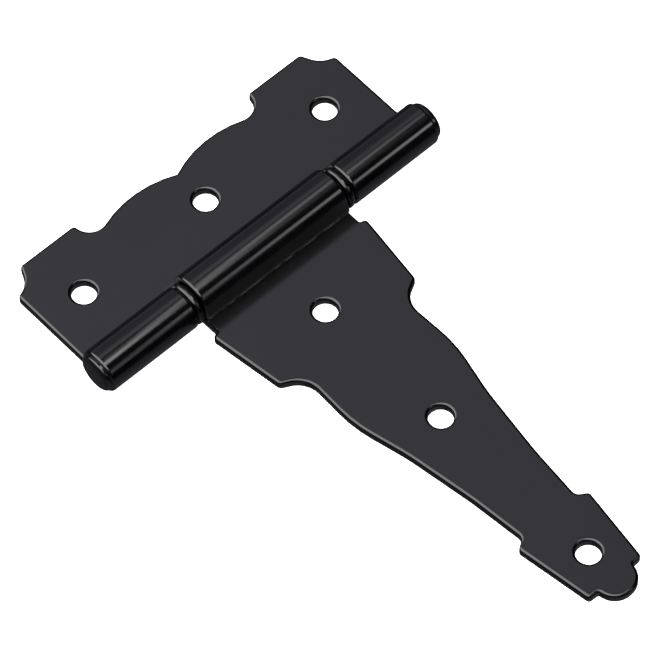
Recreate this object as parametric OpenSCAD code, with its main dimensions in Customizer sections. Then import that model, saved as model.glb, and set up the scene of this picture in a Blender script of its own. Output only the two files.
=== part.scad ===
// T hinge for a gate or a shed door: a jamb leaf and a tapered strap leaf of coated sheet steel,
// both rolled round one pin, with a spacer washer each side of the strap's knuckle.
// The hinge lies open and flat. X runs along the strap, Y along the pin, and Z out of the leaves' faces.
// The origin is the middle screw hole of the jamb leaf, on its back face.

/* [Sheet] */
// Thickness of the steel sheet of both leaves
sheet_t = 2.9; // [2.7:0.1:3.1]
// Diameter of every screw hole
screw_hole_d = 6.2; // [4.5:0.1:6.6]

/* [Pin] */
// Distance from the jamb leaf's row of screw holes to the pin's axis
pin_x = 20.5; // [19:0.5:24]
// Diameter of the pin's shank
pin_d = 4.76; // [4.5:0.02:4.8]
// Diameter of the formed head at the top
top_head_d = 10; // [8:0.5:11]
// Height of the formed head
top_head_h = 1.9; // [1.4:0.1:2.5]
// Diameter of the riveted head at the bottom
bottom_head_d = 9.8; // [8:0.2:11]
// Height of the riveted head
bottom_head_h = 1.3; // [1.2:0.1:2]

/* [Knuckles] */
// Outer radius of the jamb leaf's knuckles
jamb_roll_r = 5.75; // [5.7:0.05:5.9]
// Outer radius of the strap's knuckle, which is rolled a little slacker
strap_roll_r = 5.97; // [5.95:0.01:6.1]
// Length of the strap's knuckle along the pin
strap_knuckle_w = 45.8; // [42:0.2:46]
// Length of all the knuckles together
barrel_l = 104.6; // [103.5:0.2:108]
// Slope of the flat flank that ends the strap's roll, from upright
flank_angle = 16; // [12:1:20]
// Running clearance where the strap's roll bears on the pin
run_gap = 0.05; // [0.02:0.01:0.1]

/* [Washers] */
// Outer diameter of a spacer washer
washer_d = 11.4; // [10.4:0.1:11.4]
// Thickness of a spacer washer
washer_t = 2.1; // [1.6:0.1:2.3]
// Side play between the strap's knuckle and each washer
side_play = 0.25; // [0.2:0.05:0.4]

/* [Jamb leaf] */
// Spacing of the three screw holes
jamb_pitch = 38.8; // [37:0.1:39.5]
// Height of the leaf along the pin
jamb_h = 102.3; // [101:0.1:103.3]
// Distance from the screw holes to the outer edge
jamb_edge = 15.9; // [14.5:0.1:17]
// Gap between the leaf and the sweep of the strap's knuckle
leaf_gap = 0.7; // [0.4:0.1:1]

/* [Strap leaf] */
// Distance from the pin's axis to the first screw hole
strap_hole_1 = 22; // [20:0.5:25]
// Spacing of the first and the second screw hole
strap_pitch_1 = 40; // [37:0.5:42]
// Spacing of the second and the third screw hole
strap_pitch_2 = 49.9; // [47.5:0.1:51]
// Distance from the pin's axis to the tip
strap_l = 126; // [124:0.5:128]
// Width across the shoulders
shoulder_w = 49.4; // [48:0.2:50]
// Width across the corners in front of the tip
flare_w = 22.8; // [21:0.2:25]

/* [Hidden] */
$fn = 96;

black = [0.07, 0.07, 0.08];       // coating of the leaves
pin_black = [0.09, 0.09, 0.10];   // coating of the pin
washer_black = [0.05, 0.05, 0.06];

through = 1;                      // how far a cutter runs past the face it cuts
arc_step = 9;                     // degrees of turn for each straight of a rounded corner
seam_gap = 0.08;                  // slit between the end of a roll and the face it closes on
flank_kink = 4;                   // degrees by which the flank breaks away from the roll

pin_r = pin_d / 2;
pin_z = jamb_roll_r;              // both leaves lie with their backs at zero
neck = strap_knuckle_w / 2;       // half width of the strap where it leaves its knuckle
washer_y = neck + side_play;      // inner face of each washer
knuckle_in = washer_y + washer_t; // inner end of each jamb knuckle
knuckle_out = barrel_l / 2;

// The strap's slack roll bears on the pin, so its centre lies above the axis and to the jamb side.
strap_roll_z = strap_roll_r - jamb_roll_r;
roll_reach = strap_roll_r - sheet_t - pin_r - run_gap;
strap_roll_x = -sqrt(roll_reach * roll_reach - strap_roll_z * strap_roll_z);
sweep_r = roll_reach + strap_roll_r;
notch_x = pin_x - sweep_r - leaf_gap;
step_x = pin_x - jamb_roll_r + 1; // where the leaf's edge steps out to the end of the knuckle

// Rounded outlines. A corner is [x, y, radius].
function unit(v) = v / norm(v);
function flat(v) = [v.x, v.y];
function wrap(a) = a > 180 ? a - 360 : a < -180 ? a + 360 : a;
function corner_arc(a, b, c, r) =
    let (u = unit(a - b))
    let (v = unit(c - b))
    let (half = acos(u * v) / 2)
    let (centre = b + unit(u + v) * r / sin(half))
    let (start = b + u * r / tan(half) - centre)
    let (end = b + v * r / tan(half) - centre)
    let (from = atan2(start.y, start.x))
    let (turn = wrap(atan2(end.y, end.x) - from))
    let (steps = max(2, ceil(abs(turn) / arc_step)))
    [for (i = [0:steps]) centre + r * [cos(from + turn * i / steps), sin(from + turn * i / steps)]];
function rounded(corners) =
    let (n = len(corners))
    [for (i = [0:n - 1])
        let (a = flat(corners[(i + n - 1) % n]))
        let (b = flat(corners[i]))
        let (c = flat(corners[(i + 1) % n]))
        for (p = corners[i].z > 0 ? corner_arc(a, b, c, corners[i].z) : [b]) p];
function both_halves(half) =
    concat(half, [for (i = [len(half) - 1:-1:0]) [half[i].x, -half[i].y, half[i].z]]);

// Upper half of the jamb leaf, from the pin round to the waist in the middle of the outer edge
jamb_half = [
    [pin_x, knuckle_in, 0],
    [pin_x, jamb_h / 2, 0],
    [-jamb_edge + 6.2, jamb_h / 2, 1.3],
    [-jamb_edge + 4.9, jamb_h / 2 - 3.8, 6.5],
    [-jamb_edge, jamb_h / 2 - 6.1, 0.9],
    [-jamb_edge, 28, 0.9],
    [-jamb_edge + 6.6, 27.4, 4.4],
    [-jamb_edge + 0.7, 10.9, 29],
    [-jamb_edge + 5.7, 0.05, 0]
];
// Lower half in the same turn, closed by the notch for the strap's knuckle
jamb_outline = concat(
    both_halves(jamb_half),
    [[notch_x, -knuckle_in, 0.8], [notch_x, knuckle_in, 0.8]]
);

// Upper half of the strap, from its knuckle round to the tip
tip_x = pin_x + strap_l;
flare = flare_w / 2;
shoulder = shoulder_w / 2;
strap_half = [
    [pin_x + strap_roll_x, neck, 0],
    [pin_x + 9.2, neck, 0.6],
    [pin_x + 9.4, shoulder, 0.9],
    [pin_x + 29.9, shoulder - 2.8, 1.6],
    [pin_x + 33, 15.9, 6.5],
    [pin_x + 49.5, 16.55, 36],
    [pin_x + 64.5, 12.95, 60],
    [pin_x + 83.5, 10.05, 60],
    [tip_x - 27.4, 8.55, 2],
    [tip_x - 25.6, flare, 0.9],
    [tip_x - 5.1, flare - 3, 0.7],
    [tip_x - 5, 5.45, 0.6],
    [tip_x, 4.75, 5.2]
];

// Section of a jamb knuckle about the pin's axis, with the leaf to the left
module jamb_roll() {
    closing = 180 + asin((jamb_roll_r - sheet_t - seam_gap) / jamb_roll_r);
    far = 2 * jamb_roll_r;
    difference() {
        circle(jamb_roll_r);
        circle(jamb_roll_r - sheet_t);
        polygon([[0, 0], far * [cos(closing), sin(closing)], [-far, -far], [0, -far]]);
    }
    translate([step_x - pin_x, -pin_z])
        square([pin_x - step_x, sheet_t]);
}

// Section of the strap's knuckle about the pin's axis, with the strap to the right
module strap_roll() {
    inner_r = strap_roll_r - sheet_t;
    far = 2 * strap_roll_r;
    out = [cos(flank_angle + flank_kink), sin(flank_angle + flank_kink)];
    drop = strap_roll_z + inner_r * out.y + pin_z - sheet_t - seam_gap;
    flank = drop * [tan(flank_angle), -1];
    root = (inner_r + sheet_t / 2) * unit(out + [0, 0.2]);
    translate([strap_roll_x, strap_roll_z]) {
        difference() {
            circle(strap_roll_r);
            circle(inner_r);
            polygon([[0, 0], [0, -far], [far, -far], far * out]);
        }
        polygon([
            root,
            inner_r * out,
            inner_r * out + flank,
            strap_roll_r * out + flank,
            strap_roll_r * out
        ]);
    }
}

// Extrudes a section about the pin's axis from y0 to y1
module along_pin(y0, y1) {
    translate([pin_x, y1, pin_z])
        rotate([90, 0, 0])
            linear_extrude(y1 - y0)
                children();
}

// Turns a profile of [radius, y] about the pin's axis
module about_pin() {
    translate([pin_x, 0, pin_z])
        rotate([-90, 0, 0])
            rotate_extrude()
                children();
}

module screw_hole(x, y) {
    translate([x, y, -through])
        cylinder(d = screw_hole_d, h = sheet_t + 2 * through);
}

module jamb_leaf() {
    color(black)
        difference() {
            union() {
                linear_extrude(sheet_t)
                    polygon(rounded(jamb_outline));
                along_pin(knuckle_in, knuckle_out)
                    jamb_roll();
                along_pin(-knuckle_out, -knuckle_in)
                    jamb_roll();
            }
            for (row = [-1:1])
                screw_hole(0, row * jamb_pitch);
        }
}

module strap_leaf() {
    first = pin_x + strap_hole_1;
    second = first + strap_pitch_1;
    color(black)
        difference() {
            union() {
                linear_extrude(sheet_t)
                    polygon(rounded(both_halves(strap_half)));
                along_pin(-neck, neck)
                    strap_roll();
            }
            for (x = [first, second, second + strap_pitch_2])
                screw_hole(x, 0);
        }
}

module hinge_pin() {
    top_r = top_head_d / 2;
    bottom_r = bottom_head_d / 2;
    top_y = knuckle_out + top_head_h;
    bottom_y = -knuckle_out - bottom_head_h;
    profile = [
        [0, bottom_y, 0],
        [bottom_r - 0.5, bottom_y + 0.1, 0.8],
        [bottom_r, -knuckle_out, 0],
        [pin_r, -knuckle_out, 0],
        [pin_r, knuckle_out, 0],
        [top_r, knuckle_out, 0],
        [top_r - 0.3, top_y - 0.2, 1.1],
        [0, top_y, 0]
    ];
    color(pin_black)
        about_pin()
            polygon(rounded(profile));
}

module washer(y0) {
    rim_r = washer_d / 2;
    bore_r = pin_r + run_gap;
    round_r = washer_t * 0.35;
    profile = [
        [bore_r, y0, 0],
        [rim_r, y0, round_r],
        [rim_r, y0 + washer_t, round_r],
        [bore_r, y0 + washer_t, 0]
    ];
    color(washer_black)
        about_pin()
            polygon(rounded(profile));
}

module upper_washer() washer(washer_y);
module lower_washer() washer(-washer_y - washer_t);

jamb_leaf();
strap_leaf();
hinge_pin();
upper_washer();
lower_washer();
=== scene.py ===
"""T hinge for a gate or a shed door: a jamb leaf and a tapered strap leaf of black coated sheet
steel, each rolled into knuckles round one headed pin, with a spacer washer at each joint.

Sizes are in millimetres in the classes and become metres in the mesh helpers. X runs along the
strap, Y along the pin and Z out of the leaves' faces.
"""

import logging
import math
from dataclasses import dataclass
from enum import Enum
from typing import Callable, Iterable

import bmesh
import bpy
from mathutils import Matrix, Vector


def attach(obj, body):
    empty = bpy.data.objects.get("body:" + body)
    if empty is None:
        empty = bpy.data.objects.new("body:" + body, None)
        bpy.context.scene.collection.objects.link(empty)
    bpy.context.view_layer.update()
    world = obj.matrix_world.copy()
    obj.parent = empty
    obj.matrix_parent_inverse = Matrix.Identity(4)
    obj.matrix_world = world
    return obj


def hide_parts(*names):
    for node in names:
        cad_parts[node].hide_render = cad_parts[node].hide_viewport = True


LOG = logging.getLogger("t_hinge")
MM = 0.001
NEAR = 0.02  # how close, in millimetres, a place has to be to count as the same

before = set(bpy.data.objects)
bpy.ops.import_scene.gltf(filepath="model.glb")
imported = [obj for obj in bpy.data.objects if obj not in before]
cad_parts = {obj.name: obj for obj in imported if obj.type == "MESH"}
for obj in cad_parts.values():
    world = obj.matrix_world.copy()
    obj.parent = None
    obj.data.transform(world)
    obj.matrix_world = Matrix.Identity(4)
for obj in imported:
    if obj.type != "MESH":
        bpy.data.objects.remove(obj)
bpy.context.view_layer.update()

Corner = tuple[float, float, float]  # x, y and radius
Point = tuple[float, float, float]
Colour = tuple[float, float, float]


@dataclass(frozen=True)
class Sheet:
    """The pressed steel sheet of both leaves and what is punched through it."""

    thick: float = 2.9
    hole: float = 6.2
    edge_round: float = 0.8
    cut_weight: float = 0.2  # how round the cut edge of the strap's roll is, against 1 elsewhere


@dataclass(frozen=True)
class Barrel:
    """The line of the pin, which all knuckles and rings are centred on."""

    x: float = 20.5
    z: float = 5.75
    reach: float = 52.3  # from the middle to the outer end of the jamb leaf's knuckles


SHEET = Sheet()
BARREL = Barrel()
ROLL_STEPS = 48  # steps round a rolled knuckle
ROUND = 64  # sides of a full circle
ARC_STEP = 7  # degrees of an arc in the outline per segment
SHARP_EDGE = 38  # degrees above which an edge is rounded


class Side(Enum):
    """Which end of the barrel a piece belongs to, as the sign of its Y."""

    UPPER = 1
    LOWER = -1


class Domain(Enum):
    """What an edit-mode selection is made of."""

    VERT = "VERT"
    EDGE = "EDGE"
    FACE = "FACE"


# ---------------------------------------------------------------- mesh helpers


def select_only(domain: Domain, wanted: Callable[[Vector], bool]) -> int:
    """Selects the elements in edit mode whose middle passes a test.

    Args:
        domain: whether vertices, edges or faces are picked.
        wanted: test on the element's middle, in millimetres.

    Returns:
        How many elements were selected.
    """
    bpy.ops.mesh.select_mode(type=domain.value)
    bpy.ops.mesh.select_all(action="DESELECT")
    shape = bmesh.from_edit_mesh(bpy.context.object.data)
    count = 0
    if domain is Domain.VERT:
        for vert in shape.verts:
            if wanted(vert.co / MM):
                vert.select_set(True)
                count += 1
    elif domain is Domain.EDGE:
        for edge in shape.edges:
            if wanted((edge.verts[0].co + edge.verts[1].co) / 2 / MM):
                edge.select_set(True)
                count += 1
    else:
        for face in shape.faces:
            if wanted(face.calc_center_median() / MM):
                face.select_set(True)
                count += 1
    shape.select_flush_mode()
    bmesh.update_edit_mesh(bpy.context.object.data)
    return count


def near(place: Iterable[float], reach: float = NEAR) -> Callable[[Vector], bool]:
    """Returns a test for being within reach of a place, both in millimetres."""
    spot = Vector(tuple(place))
    return lambda middle: (middle - spot).length < reach


def extrude(step: Iterable[float]) -> None:
    """Extrudes the selection along a step in millimetres."""
    move = tuple(v * MM for v in step)
    bpy.ops.mesh.extrude_region_move(TRANSFORM_OT_translate={"value": move})


def rounded_corner(before: Vector, corner: Vector, after: Vector, radius: float) -> None:
    """Rounds the outline's corner with an arc, by a vertex bevel.

    Args:
        before: the outline's corner before this one, in millimetres.
        corner: the corner to round.
        after: the outline's corner after it.
        radius: radius of the arc, in millimetres.
    """
    turn = math.pi - (before - corner).angle(after - corner)
    cut = radius * math.tan(turn / 2)
    depth = (1 / math.cos(turn / 2) - 1) / (math.tan(turn / 2) * math.sin(turn / 2))
    select_only(Domain.VERT, near(corner))
    bpy.ops.mesh.bevel(
        offset_type="OFFSET",
        offset=cut * MM,
        segments=max(3, round(math.degrees(turn) / ARC_STEP)),
        profile=(1 - depth / 2) ** 2,
        affect="VERTICES",
        clamp_overlap=False,
    )


def traced_outline(name: str, corners: list[Corner]) -> bpy.types.Object:
    """Draws a flat closed outline on the floor of the frame, one corner after another.

    Args:
        name: name of the new piece.
        corners: x, y and radius of each corner, in millimetres.

    Returns:
        The new object, in edit mode, with its one face selected.
    """
    bpy.ops.object.select_all(action="DESELECT")
    bpy.ops.mesh.primitive_plane_add(size=MM)
    piece = bpy.context.object
    piece.name = name
    piece.data.name = name
    bpy.ops.object.mode_set(mode="EDIT")
    bpy.ops.mesh.select_mode(type="VERT")
    bpy.ops.mesh.select_all(action="SELECT")
    bpy.ops.mesh.merge(type="CENTER")
    spots = [Vector((x, y, 0)) for x, y, _ in corners]
    bpy.ops.transform.translate(value=spots[0] * MM)
    for here, there in zip(spots, spots[1:]):
        bpy.ops.mesh.extrude_vertices_move(TRANSFORM_OT_translate={"value": (there - here) * MM})
    bpy.ops.mesh.select_all(action="SELECT")
    bpy.ops.mesh.edge_face_add()
    count = len(corners)
    for index, (_, _, radius) in enumerate(corners):
        if radius > 0:
            rounded_corner(spots[index - 1], spots[index], spots[(index + 1) % count], radius)
    bpy.ops.mesh.select_mode(type="FACE")
    bpy.ops.mesh.select_all(action="SELECT")
    return piece


def weigh_sharp_edges() -> None:
    """Marks the sheet's sharp edges for rounding, except those that cross its thickness."""
    bpy.ops.mesh.select_mode(type="EDGE")
    bpy.ops.mesh.select_all(action="DESELECT")
    bpy.ops.mesh.edges_select_sharp(sharpness=math.radians(SHARP_EDGE))
    bpy.ops.transform.edge_bevelweight(value=1.0)
    select_only(Domain.EDGE, lambda middle: abs(middle.z - SHEET.thick / 2) < NEAR)
    bpy.ops.transform.edge_bevelweight(value=-1.0)


def apply_modifier(piece: bpy.types.Object, kind: str, **settings: object) -> None:
    """Adds a modifier with these settings to a piece and applies it."""
    bpy.ops.object.select_all(action="DESELECT")
    piece.select_set(True)
    bpy.context.view_layer.objects.active = piece
    modifier = piece.modifiers.new(kind.title(), kind)
    for name, value in settings.items():
        setattr(modifier, name, value)
    bpy.ops.object.modifier_apply(modifier=modifier.name)


def close_up(piece: bpy.types.Object) -> None:
    """Merges doubles, turns the faces outward and leaves edit mode."""
    bpy.ops.mesh.select_mode(type="VERT")
    bpy.ops.mesh.select_all(action="SELECT")
    bpy.ops.mesh.remove_doubles(threshold=0.002 * MM)
    bpy.ops.mesh.normals_make_consistent(inside=False)
    bpy.ops.mesh.select_all(action="DESELECT")
    bpy.ops.object.mode_set(mode="OBJECT")


def drill(piece: bpy.types.Object, holes: list[tuple[float, float]]) -> None:
    """Punches the screw holes through a leaf that lies on the floor of the frame.

    The leaf is first cut across at each hole, so that no face is left with a hole in its middle.

    Args:
        piece: the leaf, in object mode.
        holes: x and y of each hole, in millimetres.
    """
    bpy.ops.object.mode_set(mode="EDIT")
    for axis in range(2):
        for place in sorted({hole[axis] for hole in holes}):
            where, normal = Vector((0, 0, 0)), Vector((0, 0, 0))
            where[axis], normal[axis] = place * MM, 1
            bpy.ops.mesh.select_all(action="SELECT")
            bpy.ops.mesh.bisect(plane_co=where, plane_no=normal)
    bpy.ops.object.mode_set(mode="OBJECT")
    for x, y in holes:
        bpy.ops.object.select_all(action="DESELECT")
        bpy.ops.mesh.primitive_cylinder_add(
            vertices=ROUND,
            radius=SHEET.hole / 2 * MM,
            depth=3 * SHEET.thick * MM,
            location=(x * MM, y * MM, SHEET.thick / 2 * MM),
        )
        cutter = bpy.context.object
        bpy.ops.object.transform_apply(location=True, rotation=True, scale=True)
        apply_modifier(piece, "BOOLEAN", object=cutter, operation="DIFFERENCE", solver="EXACT")
        bpy.data.objects.remove(cutter)


def soften(piece: bpy.types.Object, width: float) -> None:
    """Rounds the weighted edges and shades the piece smooth, with its flats kept flat.

    Args:
        piece: the piece, in object mode.
        width: width of the rounding at weight 1, in millimetres.
    """
    apply_modifier(
        piece,
        "BEVEL",
        width=width * MM,
        segments=4,
        limit_method="WEIGHT",
        use_clamp_overlap=False,
        miter_outer="MITER_SHARP",
        miter_inner="MITER_SHARP",
    )
    bpy.ops.object.shade_smooth_by_angle(angle=math.radians(40), keep_sharp_edges=False)
    apply_modifier(piece, "WEIGHTED_NORMAL", mode="FACE_AREA", weight=100, keep_sharp=True)


# ---------------------------------------------------------------- materials


class Maths:
    """A shader value on which Python's operators add Math nodes."""

    def __init__(self, board: "Board", socket: bpy.types.NodeSocket) -> None:
        """Wraps an output socket of a node tree."""
        self.board = board
        self.socket = socket

    def _with(self, operation: str, *values: object) -> "Maths":
        """Adds one Math node.

        Args:
            operation: the node's operation.
            values: its inputs, each a number or another value.

        Returns:
            The node's result.
        """
        return self.board.node("ShaderNodeMath", {"operation": operation}, dict(enumerate(values)))

    def __add__(self, other: object) -> "Maths":
        """Sum."""
        return self._with("ADD", self, other)

    __radd__ = __add__

    def __mul__(self, other: object) -> "Maths":
        """Product."""
        return self._with("MULTIPLY", self, other)

    __rmul__ = __mul__

    def __sub__(self, other: object) -> "Maths":
        """Difference."""
        return self._with("SUBTRACT", self, other)

    def __rsub__(self, other: object) -> "Maths":
        """Difference from a number."""
        return self._with("SUBTRACT", other, self)

    def ramp(self, low: float, high: float) -> "Maths":
        """Returns a smooth step from 0 at low to 1 at high."""
        return self.board.node(
            "ShaderNodeMapRange",
            {"interpolation_type": "SMOOTHSTEP"},
            {"Value": self, "From Min": low, "From Max": high},
        )

    def hump(self, middle: float, half: float, edge: float) -> "Maths":
        """Returns a band that is 1 within half of the middle and fades to 0 over edge."""
        offset = self._with("ABSOLUTE", self - middle)
        return 1 - offset.ramp(half, half + edge)

    def angle_to(self, other: "Maths") -> "Maths":
        """Returns the angle of (other, self) in degrees, as atan2(self, other)."""
        return self._with("ARCTAN2", self, other) * (180 / math.pi)


class Board:
    """A node tree that is filled from an empty start."""

    def __init__(self, tree: bpy.types.NodeTree) -> None:
        """Empties the tree."""
        self.tree = tree
        tree.nodes.clear()

    def node(
        self,
        kind: str,
        settings: dict[str, object] | None = None,
        inputs: dict[str | int, object] | None = None,
        output: str | int = 0,
    ) -> Maths:
        """Adds a node.

        Args:
            kind: the node's type.
            settings: the node's properties, which are set first.
            inputs: a value or a link for each socket, by its name or its place.
            output: name or place of the output that is wanted.

        Returns:
            The wanted output.
        """
        made = self.tree.nodes.new(kind)
        for name, value in (settings or {}).items():
            setattr(made, name, value)
        for key, value in (inputs or {}).items():
            if isinstance(value, Maths):
                self.tree.links.new(value.socket, made.inputs[key])
            else:
                made.inputs[key].default_value = value
        return Maths(self, made.outputs[output]) if len(made.outputs) else Maths(self, None)

    def axes(self, place: Maths) -> tuple[Maths, Maths, Maths]:
        """Returns the X, Y and Z of a vector."""
        split = self.node("ShaderNodeSeparateXYZ", None, {"Vector": place}).socket.node
        return tuple(Maths(self, split.outputs[axis]) for axis in "XYZ")

    def blend(self, share: Maths, first: object, second: object) -> Maths:
        """Returns the first colour where share is 0 and the second where it is 1."""
        return self.node(
            "ShaderNodeMix", {"data_type": "RGBA"}, {"Factor": share, "A": first, "B": second}, output=2
        )


@dataclass(frozen=True)
class BlackCoating:
    """A thin glossy black coating on pressed steel: dark, faintly rippled, with fine specks, and with
    painted glints along the cut edge where a roll is closed.

    Colours are linear, and lengths are in millimetres.
    """

    name: str
    slot: str
    deep: Colour = (0.0003, 0.0003, 0.0004)
    light: Colour = (0.0010, 0.0009, 0.0011)
    # lighter colour of the painted highlights along the cut edge of the roll
    glint_tint: Colour = (0.06, 0.06, 0.065)
    roughness: tuple[float, float] = (0.09, 0.14)
    cloud: float = 14
    ripple: float = 1.6
    ripple_height: float = 0.0016
    grain: float = 0.22
    grain_height: float = 0.0002
    speck: float = 0.55
    specks: float = 0.5
    dip: tuple[float, float, float] = (0, 0, 0)  # where the sheet sinks, from x to x, and how deep
    dull: float = 0.4  # how much rougher the coating is at the bottom of the dip
    seam: tuple[float, float] = (0, 0)  # x and z of the cut edge that closes the roll
    torn: float = 0.2  # how uneven that edge is

    def material(self) -> bpy.types.Material:
        """Returns the finish as a new material."""
        made = bpy.data.materials.new(self.name)
        made.use_nodes = True
        board = Board(made.node_tree)
        place = board.node("ShaderNodeTexCoord", output="Object")
        cloud = self._noise(board, place, self.cloud, 4)
        ripple = self._noise(board, place, self.ripple, 2)
        grain = self._noise(board, place, self.grain, 3)
        speck = self._noise(board, place, self.speck, 1).ramp(0.72, 0.80) * self.specks
        low, high = self.roughness
        rough = low + (cloud * 0.6 + grain * 0.4) * (high - low) + speck * 0.2
        tint = board.blend(cloud.ramp(0.35, 0.7), (*self.deep, 1), (*self.light, 1))
        bumps = ripple * (self.ripple_height * MM) + grain * (self.grain_height * MM)
        if self.seam[0]:
            # painted highlight: lighter dashes along the cut edge stand in for glints of light on it
            tint = board.blend(self._painted_glints(board, place), tint, (*self.glint_tint, 1))
            tears = self._noise(board, place, 0.7, 2) * (self.torn * MM)
            bumps = bumps + self._near_seam(board, place, 0.7) * tears
        start, end, depth = self.dip
        if depth:
            x, _, _ = board.axes(place)
            fall = 1 - board.node(
                "ShaderNodeMapRange",
                {"interpolation_type": "LINEAR"},
                {"Value": x, "From Min": start * MM, "From Max": end * MM},
            )
            bumps = bumps - fall * fall * (depth * MM)
            rough = rough + fall * x.ramp((start - 2) * MM, start * MM) * self.dull
        normal = board.node("ShaderNodeBump", None, {"Strength": 1.0, "Distance": 1.0, "Height": bumps})
        shader = board.node(
            "ShaderNodeBsdfPrincipled",
            None,
            {"Base Color": tint, "Roughness": rough, "Normal": normal, "IOR": 1.5, "Metallic": 0.0},
        )
        board.node("ShaderNodeOutputMaterial", None, {"Surface": shader})
        return made

    def _near_seam(self, board: Board, place: Maths, reach: float) -> Maths:
        """Returns a mask of the metal within reach, in millimetres, of the cut edge of the roll."""
        x, _, z = board.axes(place)
        return (x * (1 / MM)).hump(self.seam[0], reach, 0.2) * (z * (1 / MM)).hump(self.seam[1], reach, 0.2)

    def _painted_glints(self, board: Board, place: Maths) -> Maths:
        """Returns a mask of short lighter dashes along the cut edge that closes the roll: painted
        highlights that stand in for glints of light on that edge.
        """
        edge = self._near_seam(board, place, 0.35)
        drawn = board.node("ShaderNodeMapping", None, {"Vector": place, "Scale": (1, 0.35, 1)})
        runs = self._noise(board, drawn, 0.8, 2).ramp(0.44, 0.54)
        return edge * runs * (0.4 + self._noise(board, drawn, 0.3, 1) * 0.9)

    def _noise(self, board: Board, place: Maths, size: float, detail: float) -> Maths:
        """Returns noise of this size, in millimetres, on the piece's own coordinates."""
        return board.node(
            "ShaderNodeTexNoise",
            {"noise_dimensions": "3D"},
            {"Vector": place, "Scale": 1 / (size * MM), "Detail": detail, "Roughness": 0.5},
        )


LEAF_COATING = BlackCoating("leaf_black_coating", "leaf_coating")
STRAP_COATING = BlackCoating(
    "strap_black_coating", "leaf_coating", dip=(26.4, 31.0, 0.75), seam=(26.9, 3.9)
)
PIN_COATING = BlackCoating("pin_black_coating", "pin_coating", roughness=(0.14, 0.2), ripple=1.1)
WASHER_COATING = BlackCoating("washer_black_coating", "washer_coating", roughness=(0.14, 0.2), ripple=0.9)


def dress(piece: bpy.types.Object, finish: BlackCoating, body: str, node: str) -> None:
    """Paints a finished piece, sets what it rides on and hides the part from model.glb that it stands for.

    Args:
        piece: the finished piece.
        finish: its coating.
        body: the body it moves with.
        node: the node it stands for.
    """
    piece.data.materials.clear()
    piece.data.materials.append(finish.material())
    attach(piece, body)
    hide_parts(node)


# ---------------------------------------------------------------- the hinge


@dataclass
class JambLeaf:
    """The leaf that is screwed to the post, with a knuckle at each end of the barrel."""

    pin_x: float = BARREL.x
    roll_r: float = BARREL.z
    knuckle_in: float = 25.25
    knuckle_out: float = BARREL.reach
    height: float = 102.3
    edge: float = 15.9
    notch_x: float = 13.2
    step_x: float = 15.75
    pitch: float = 38.8
    closing: float = 28.2

    def upper_half(self) -> list[Corner]:
        """Returns the upper half of the outline, from the pin round to the waist."""
        top = self.height / 2
        return [
            (self.pin_x, self.knuckle_in, 0),
            (self.pin_x, self.knuckle_out, 0),
            (self.step_x + 0.6, self.knuckle_out, 1.2),
            (self.step_x, top, 0.5),
            (-self.edge + 6.2, top, 1.3),
            (-self.edge + 4.9, top - 3.8, 6.5),
            (-self.edge, top - 6.1, 1.2),
            (-self.edge, 28, 1),
            (-self.edge + 6.6, 27.4, 4.4),
            (-self.edge + 0.7, 10.9, 29),
            (-self.edge + 5.7, 0, 0),
        ]

    def build(self) -> bpy.types.Object:
        """Cuts the blank, rolls both knuckles, bores the holes and rounds the edges.

        Returns:
            The finished leaf.
        """
        half = self.upper_half()
        lower = [(x, -y, r) for x, y, r in reversed(half[:-1])]
        notch = [(self.notch_x, -self.knuckle_in, 0.8), (self.notch_x, self.knuckle_in, 0.8)]
        piece = traced_outline("jamb_leaf_sheet", half + lower + notch)
        extrude((0, 0, SHEET.thick))
        bpy.ops.mesh.select_all(action="SELECT")
        bpy.ops.mesh.normals_make_consistent(inside=False)
        middle = (self.knuckle_in + self.knuckle_out) / 2
        for side in Side:
            end = (self.pin_x, side.value * middle, SHEET.thick / 2)
            select_only(Domain.FACE, near(end, 0.2))
            bpy.ops.mesh.spin(
                steps=ROLL_STEPS,
                angle=math.radians(270 + self.closing),
                center=(self.pin_x * MM, 0, self.roll_r * MM),
                axis=(0, 1, 0),
            )
        close_up(piece)
        drill(piece, [(0, row * self.pitch) for row in (-1, 0, 1)])
        bpy.ops.object.mode_set(mode="EDIT")
        weigh_sharp_edges()
        bpy.ops.object.mode_set(mode="OBJECT")
        soften(piece, SHEET.edge_round)
        return piece

    def dress(self, piece: bpy.types.Object) -> None:
        """Coats the leaf and fixes it to the jamb."""
        dress(piece, LEAF_COATING, "jamb", "jamb_leaf")


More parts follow.
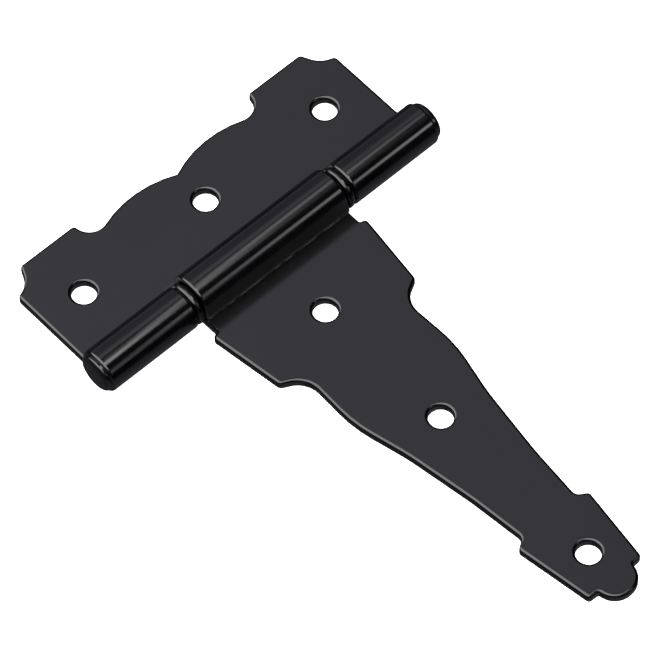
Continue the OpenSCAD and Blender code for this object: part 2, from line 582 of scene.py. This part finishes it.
@dataclass
class StrapLeaf:
    """The tapered leaf that is screwed to the gate, rolled round the middle of the pin."""

    pin_x: float = BARREL.x
    roll_r: float = 5.97
    roll_x: float = 19.903
    neck: float = 22.9
    length: float = 126
    shoulder: float = 24.7
    flare: float = 11.4
    first: float = 22
    pitches: tuple[float, float] = (40, 49.9)
    lip: float = 20
    flank: float = 16
    drop: float = 4.02
    cut_z: float = 4.3

    def upper_half(self) -> list[Corner]:
        """Returns the upper half of the outline, from the knuckle round to the tip."""
        pin, tip = self.pin_x, self.pin_x + self.length
        return [
            (self.roll_x, self.neck, 0),
            (pin + 9.2, self.neck, 0.6),
            (pin + 9.4, self.shoulder, 1.1),
            (pin + 29.9, self.shoulder - 2.8, 1.6),
            (pin + 33, 15.9, 6.5),
            (pin + 49.5, 16.55, 36),
            (pin + 64.5, 12.95, 60),
            (pin + 83.5, 10.05, 60),
            (tip - 27.4, 8.55, 2),
            (tip - 25.6, self.flare, 1.1),
            (tip - 5.1, self.flare - 3, 1.1),
            (tip - 5, 5.45, 0.6),
            (tip, 4.75, 5.2),
        ]

    def build(self) -> bpy.types.Object:
        """Cuts the blank, rolls the knuckle, bores the holes and rounds the edges.

        Returns:
            The finished leaf.
        """
        half = self.upper_half()
        piece = traced_outline("strap_leaf_sheet", half + [(x, -y, r) for x, y, r in reversed(half)])
        extrude((0, 0, SHEET.thick))
        bpy.ops.mesh.select_all(action="SELECT")
        bpy.ops.mesh.normals_make_consistent(inside=False)
        select_only(Domain.FACE, near((self.roll_x, 0, SHEET.thick / 2), 0.2))
        bpy.ops.mesh.spin(
            steps=ROLL_STEPS,
            angle=-math.radians(270 - self.lip),
            center=(self.roll_x * MM, 0, self.roll_r * MM),
            axis=(0, 1, 0),
        )
        extrude((self.drop * math.tan(math.radians(self.flank)), 0, -self.drop))
        close_up(piece)
        first = self.pin_x + self.first
        second = first + self.pitches[0]
        drill(piece, [(first, 0), (second, 0), (second + self.pitches[1], 0)])
        bpy.ops.object.mode_set(mode="EDIT")
        weigh_sharp_edges()
        cut_x = self.roll_x + self.roll_r * math.cos(math.radians(self.lip)) - 0.6
        select_only(
            Domain.EDGE,
            lambda m: m.x > cut_x and SHEET.thick + NEAR < m.z < self.cut_z and abs(m.y) < self.neck - NEAR,
        )
        bpy.ops.transform.edge_bevelweight(value=SHEET.cut_weight - 1)
        bpy.ops.object.mode_set(mode="OBJECT")
        soften(piece, SHEET.edge_round)
        return piece

    def dress(self, piece: bpy.types.Object) -> None:
        """Coats the strap, whose sheet dips a little towards its roll, and lets it swing."""
        dress(piece, STRAP_COATING, "strap", "strap_leaf")


@dataclass
class HingePin:
    """The pin through all the knuckles, with a formed head at the top and a riveted one below."""

    x: float = BARREL.x
    z: float = BARREL.z
    radius: float = 2.38
    reach: float = BARREL.reach
    rim: float = 0.3  # share of a head's height that is straight
    dome_steps: int = 10
    dome_turn: float = 86  # degrees of the dome, just short of its pole
    flatness: float = 0.42  # power that flattens the dome, against 1 for a round one
    heads: tuple[tuple[Side, float, float], ...] = ((Side.UPPER, 5.0, 1.9), (Side.LOWER, 4.9, 1.3))

    def build(self) -> bpy.types.Object:
        """Turns the shank and forms a flat-domed head on each end.

        Returns:
            The finished pin.
        """
        bpy.ops.object.select_all(action="DESELECT")
        bpy.ops.mesh.primitive_cylinder_add(
            vertices=ROUND,
            radius=self.radius * MM,
            depth=2 * self.reach * MM,
            location=(self.x * MM, 0, self.z * MM),
            rotation=(math.radians(90), 0, 0),
        )
        piece = bpy.context.object
        piece.name = "hinge_pin_turned"
        piece.data.name = piece.name
        bpy.ops.object.transform_apply(location=True, rotation=True, scale=True)
        bpy.ops.object.mode_set(mode="EDIT")
        for side, head_r, head_h in self.heads:
            self._form_head(side, head_r, head_h)
        close_up(piece)
        bpy.ops.object.shade_smooth_by_angle(angle=math.radians(50), keep_sharp_edges=False)
        apply_modifier(piece, "WEIGHTED_NORMAL", mode="FACE_AREA", weight=60, keep_sharp=True)
        return piece

    def _form_head(self, side: Side, head_r: float, head_h: float) -> None:
        """Upsets one end of the shank into a head.

        Args:
            side: which end.
            head_r: radius of the head.
            head_h: height of the head.
        """
        sign = side.value
        middle = Vector((self.x, sign * self.reach, self.z))
        select_only(Domain.FACE, near(middle, 0.2))
        extrude((0, 0, 0))
        self._swell(middle, head_r / self.radius)
        rim = head_h * self.rim
        extrude((0, sign * rim, 0))
        radius, height = head_r, 0.0
        for step in range(1, self.dome_steps + 1):
            turn = math.radians(self.dome_turn * step / self.dome_steps)
            smaller = head_r * math.cos(turn) ** self.flatness
            higher = (head_h - rim) * math.sin(turn) / math.sin(math.radians(self.dome_turn))
            extrude((0, sign * (higher - height), 0))
            self._swell(middle, smaller / radius)
            radius, height = smaller, higher

    def _swell(self, middle: Vector, factor: float) -> None:
        """Resizes the selected end about the pin's axis by a factor."""
        bpy.ops.transform.resize(value=(factor, 1, factor), center_override=tuple(middle * MM))

    def dress(self, piece: bpy.types.Object) -> None:
        """Coats the pin and fixes it in the jamb leaf."""
        dress(piece, PIN_COATING, "jamb", "hinge_pin")


@dataclass
class SpacerWasher:
    """A washer on the pin between the strap's knuckle and one of the jamb leaf's."""

    x: float = BARREL.x
    z: float = BARREL.z
    inner: float = 23.15
    thick: float = 2.1
    radius: float = 5.7
    bore: float = 2.43
    edge_round: float = 0.92

    def build(self, side: Side) -> bpy.types.Object:
        """Presses one washer: a disc with rounded rims and a bore.

        Args:
            side: which joint of the barrel it fills.

        Returns:
            The finished washer.
        """
        middle = side.value * (self.inner + self.thick / 2)
        bpy.ops.object.select_all(action="DESELECT")
        bpy.ops.mesh.primitive_cylinder_add(
            vertices=ROUND,
            radius=self.radius * MM,
            depth=self.thick * MM,
            location=(self.x * MM, middle * MM, self.z * MM),
            rotation=(math.radians(90), 0, 0),
        )
        piece = bpy.context.object
        piece.name = f"{side.name.lower()}_washer_ring"
        piece.data.name = piece.name
        bpy.ops.object.transform_apply(location=True, rotation=True, scale=True)
        bpy.ops.object.mode_set(mode="EDIT")
        select_only(Domain.FACE, lambda m: abs(m.x - self.x) < 0.1 and abs(m.z - self.z) < 0.1)
        bpy.ops.mesh.inset(thickness=(self.radius - self.bore) * MM, depth=0, use_even_offset=False)
        bpy.ops.mesh.bridge_edge_loops()
        select_only(
            Domain.EDGE,
            lambda m: math.hypot(m.x - self.x, m.z - self.z) > self.radius * 0.98
            and abs(abs(m.y - middle) - self.thick / 2) < NEAR,
        )
        bpy.ops.transform.edge_bevelweight(value=1.0)
        close_up(piece)
        soften(piece, self.edge_round)
        return piece

    def dress(self, piece: bpy.types.Object, side: Side) -> None:
        """Coats the washer and fixes it on the pin."""
        dress(piece, WASHER_COATING, "jamb", f"{side.name.lower()}_washer")


# ---------------------------------------------------------------- the studio


@dataclass(frozen=True)
class Sky:
    """What the coating mirrors, by the direction that a reflection goes in.

    Most parts depend on the angle about the pin, in degrees from +X over the top, so that
    they lie along the barrel as bands.
    """

    panel: float = 1.04  # the wide pale panel, which the flat leaves mirror
    streak: float = 6.4  # the strip lamp high on the barrel, weaker towards the top end
    rim: float = 3.4  # what the lower strip lamp gains towards the top end
    front: float = 5  # the lamp in front, for the near edges and the rims of the holes
    gloom: float = 0.05  # the faint light between the panel and the lower strip
    least: float = 0.02  # the light that comes from everywhere
    cool: Colour = (0.95, 0.925, 1.10)
    plain: Colour = (1.0, 0.99, 1.0)

    def build(self) -> None:
        """Makes the world's sky: a wide pale panel, two strip lamps, and light from the front."""
        world = bpy.data.worlds.new("studio_sky")
        bpy.context.scene.world = world
        world.use_nodes = True
        board = Board(world.node_tree)
        x, y, z = board.axes(board.node("ShaderNodeTexCoord", output="Generated"))
        angle = z.angle_to(x)
        across = y.ramp(0.31, 0.40)
        panel = angle.ramp(103, 110) * (1 - angle.ramp(117, 136) * 0.62 - angle.ramp(136, 160) * 0.1)
        ground = (1 - z.ramp(-0.4, -0.1)) * (x.ramp(0, 0.4) * 0.13 + 0.07)
        streak = (angle - y.ramp(0.318, 0.358) * 20).hump(75, 4, 7) * (1 - across * 0.86) * self.streak
        rim = (angle - y.ramp(0.33, 0.35) * 10).hump(25.5, 3, 7) * (1.0 + across * across * self.rim)
        gloom = (1 - panel) * angle.ramp(45, 60) * self.gloom
        sides = y.ramp(-0.2, 0.1) * (1 - y.ramp(0.43, 0.56)) * z.ramp(-0.1, 0.05)
        turned_away = (x - z.ramp(0.3, 0.6) * 0.75).ramp(-0.25, 0.1)
        front = (1 - y.ramp(-0.15, 0.05)) * z.ramp(0.1, 0.3) * (1 - turned_away) * self.front
        bands = panel * (self.panel - across * 0.22) + streak + rim + gloom
        glow = bands * sides + front + ground + self.least
        lamps = (rim + front + streak).ramp(0.2, 1.5)
        tint = board.blend(lamps, (*self.cool, 1), (*self.plain, 1))
        light = board.node("ShaderNodeBackground", None, {"Color": tint, "Strength": glow})
        board.node("ShaderNodeOutputWorld", None, {"Surface": light})


@dataclass
class Studio:
    """A pale floor and backdrop, the sky, a soft lamp and the camera. Lengths are in metres."""

    eye: Point = (0.6051, -0.5116, 1.2094)
    turn: Point = (32.0275, 0.1328, 47.4259)
    lens: float = 328.41
    floor_z: float = -0.0004
    floor_size: float = 24
    wall_r: float = 11.5
    paper_glow: float = 1.02
    lamp_place: Point = (-0.2, 0.3, 1.8)
    lamp_size: float = 1.2
    lamp_power: float = 4

    def build(self) -> None:
        """Makes the floor, the backdrop, the sky, the lamp and the camera."""
        self._floor()
        Sky().build()
        self._lamp()
        self._camera()
        bpy.context.scene.view_settings.view_transform = "Standard"

    def _floor(self) -> None:
        """Makes the floor and a pale wall all round it."""
        bpy.ops.object.select_all(action="DESELECT")
        bpy.ops.mesh.primitive_plane_add(size=self.floor_size, location=(0, 0, self.floor_z))
        floor = bpy.context.object
        floor.name = "studio_floor"
        bpy.ops.mesh.primitive_uv_sphere_add(segments=48, ring_count=24, radius=self.wall_r)
        wall = bpy.context.object
        wall.name = "studio_wall"
        wall.visible_diffuse = False
        wall.visible_shadow = False
        for item in (floor, wall):
            item.visible_glossy = False
            item.data.materials.append(self._paper(item.name))

    def _paper(self, name: str) -> bpy.types.Material:
        """Returns lit white paper, clear from behind."""
        made = bpy.data.materials.new(f"{name}_paper")
        made.use_nodes = True
        board = Board(made.node_tree)
        behind = board.node("ShaderNodeNewGeometry", output="Backfacing")
        clear = board.node("ShaderNodeBsdfTransparent")
        white = board.node(
            "ShaderNodeBsdfPrincipled",
            None,
            {
                "Base Color": (0.85, 0.85, 0.85, 1),
                "Roughness": 0.9,
                "Specular IOR Level": 0.0,
                "Emission Color": (1, 1, 1, 1),
                "Emission Strength": self.paper_glow,
            },
        )
        if name == "studio_wall":
            behind = 1 - behind
        mixed = board.node("ShaderNodeMixShader", None, {"Fac": behind, 1: white, 2: clear})
        board.node("ShaderNodeOutputMaterial", None, {"Surface": mixed})
        return made

    def _lamp(self) -> None:
        """Hangs a soft lamp over the floor that gives light but no reflection."""
        lamp = bpy.data.lights.new("overhead_softbox", "AREA")
        lamp.shape = "DISK"
        lamp.size = self.lamp_size
        lamp.energy = self.lamp_power
        item = bpy.data.objects.new("overhead_softbox", lamp)
        bpy.context.scene.collection.objects.link(item)
        item.location = self.lamp_place
        item.rotation_euler = Vector(self.lamp_place).to_track_quat("Z", "Y").to_euler()
        item.visible_glossy = False

    def _camera(self) -> None:
        """Makes the camera and looks through it."""
        data = bpy.data.cameras.new("camera")
        data.lens = self.lens
        data.sensor_width = 36
        data.clip_end = 60
        item = bpy.data.objects.new("camera", data)
        bpy.context.scene.collection.objects.link(item)
        item.location = self.eye
        item.rotation_euler = tuple(math.radians(angle) for angle in self.turn)
        bpy.context.scene.camera = item


def report(piece: bpy.types.Object) -> None:
    """Logs a piece's name and how many faces it has."""
    LOG.info("%s: %d faces", piece.name, len(piece.data.polygons))


def main() -> None:
    """Builds and dresses the hinge, then the studio."""
    logging.basicConfig(level=logging.INFO, format="%(name)s: %(message)s")
    jamb, strap, pin, washer = JambLeaf(), StrapLeaf(), HingePin(), SpacerWasher()
    for maker in (jamb, strap, pin):
        piece = maker.build()
        maker.dress(piece)
        report(piece)
    for side in Side:
        piece = washer.build(side)
        washer.dress(piece, side)
        report(piece)
    Studio().build()


if __name__ == "__main__":
    main()
